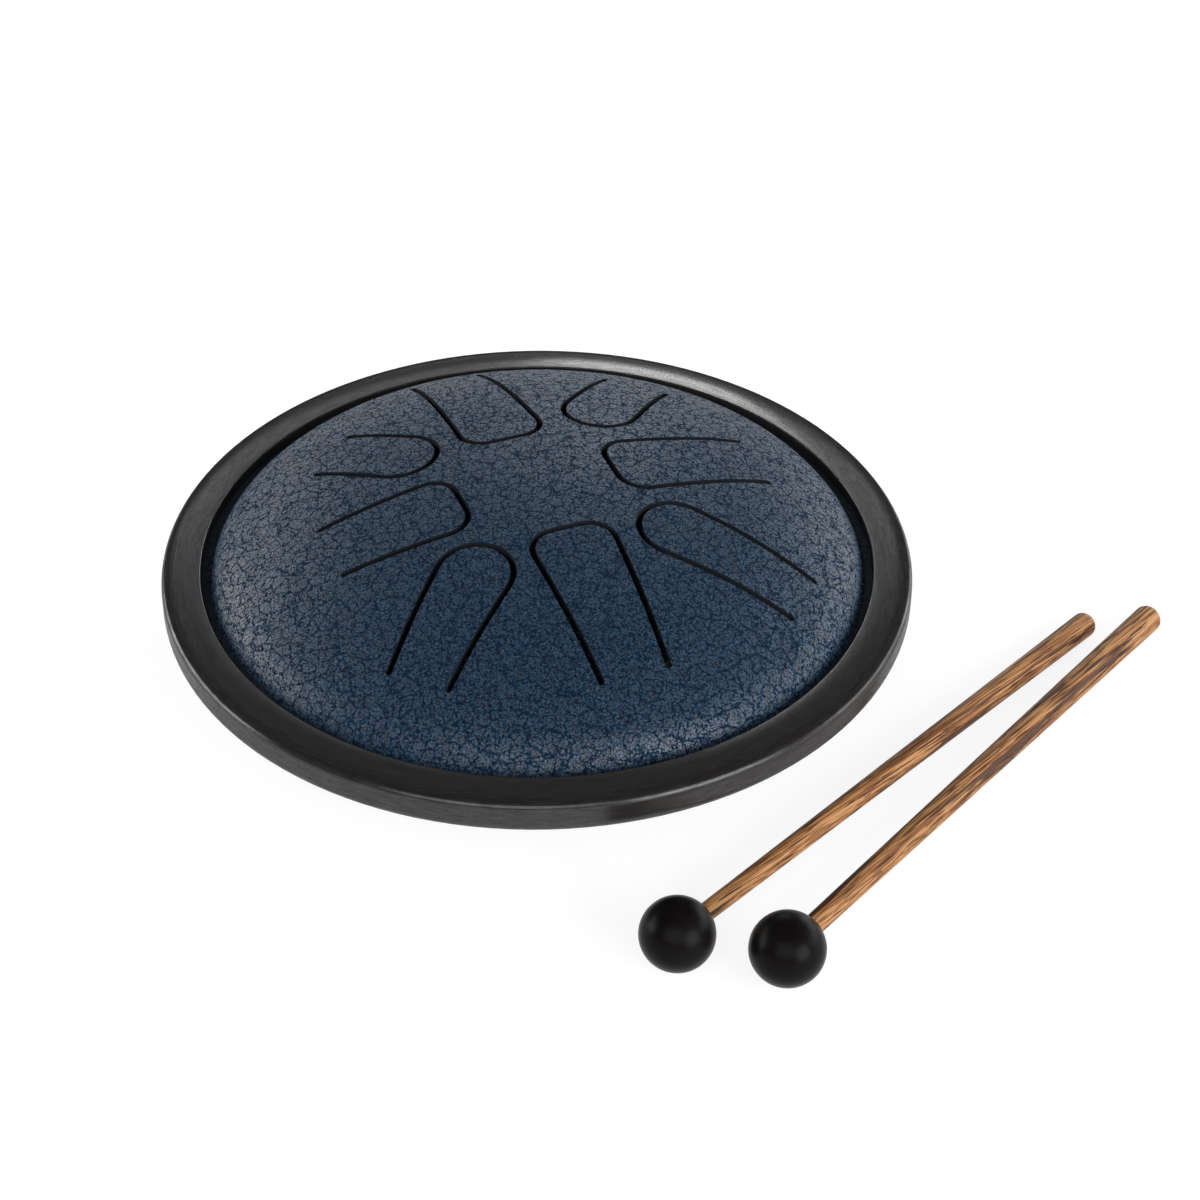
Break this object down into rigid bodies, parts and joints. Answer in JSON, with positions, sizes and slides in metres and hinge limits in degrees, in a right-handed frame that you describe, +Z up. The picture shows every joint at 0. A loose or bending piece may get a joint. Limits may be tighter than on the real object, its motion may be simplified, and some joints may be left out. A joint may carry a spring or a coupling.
{
  "type": "steel tongue drum",
  "caption": "Round steel tongue drum: a domed shell with cut tongues, a rubber edge ring and rubber feet, with a pair of wooden mallets with rubber heads beside it.",
  "frame": {"origin": "centre of the sound hole, on the outer face of the bottom shell", "axes": "+Z up through the middle of the dome, which is the drum's axis; -Y towards the viewer of the picture, with the mallets on the +X, -Y side"},
  "size_m": [0.2443, 0.21, 0.052],
  "materials": {
    "shell_paint": "fine leather-grain powder coat, satin navy blue",
    "ring_rubber": "matte moulded rubber with fine turned lines",
    "foot_rubber": "matte moulded rubber",
    "screw_steel": "zinc-plated steel",
    "nut_steel": "zinc-plated steel",
    "shaft_wood": "turned hardwood with open dark grain, oiled",
    "mallet_rubber": "smooth satin rubber"
  },
  "bodies": {
    "drum": {"top_shell": "shell_paint", "bottom_shell": "shell_paint", "rim_ring": "ring_rubber", "foot_1": "foot_rubber", "foot_2": "foot_rubber", "foot_3": "foot_rubber", "foot_screw_1": "screw_steel", "foot_screw_2": "screw_steel", "foot_screw_3": "screw_steel", "foot_nut_1": "nut_steel", "foot_nut_2": "nut_steel", "foot_nut_3": "nut_steel"},
    "mallet_1": {"mallet_1_shaft": "shaft_wood", "mallet_1_head": "mallet_rubber"},
    "mallet_2": {"mallet_2_shaft": "shaft_wood", "mallet_2_head": "mallet_rubber"}
  },
  "joints": [
    {"name": "mallet_1_lift", "type": "slide", "parent": "drum", "child": "mallet_1", "axis": [0, 0, 1], "range_m": [0, 0.25]},
    {"name": "mallet_2_lift", "type": "slide", "parent": "drum", "child": "mallet_2", "axis": [0, 0, 1], "range_m": [0, 0.25]}
  ]
}
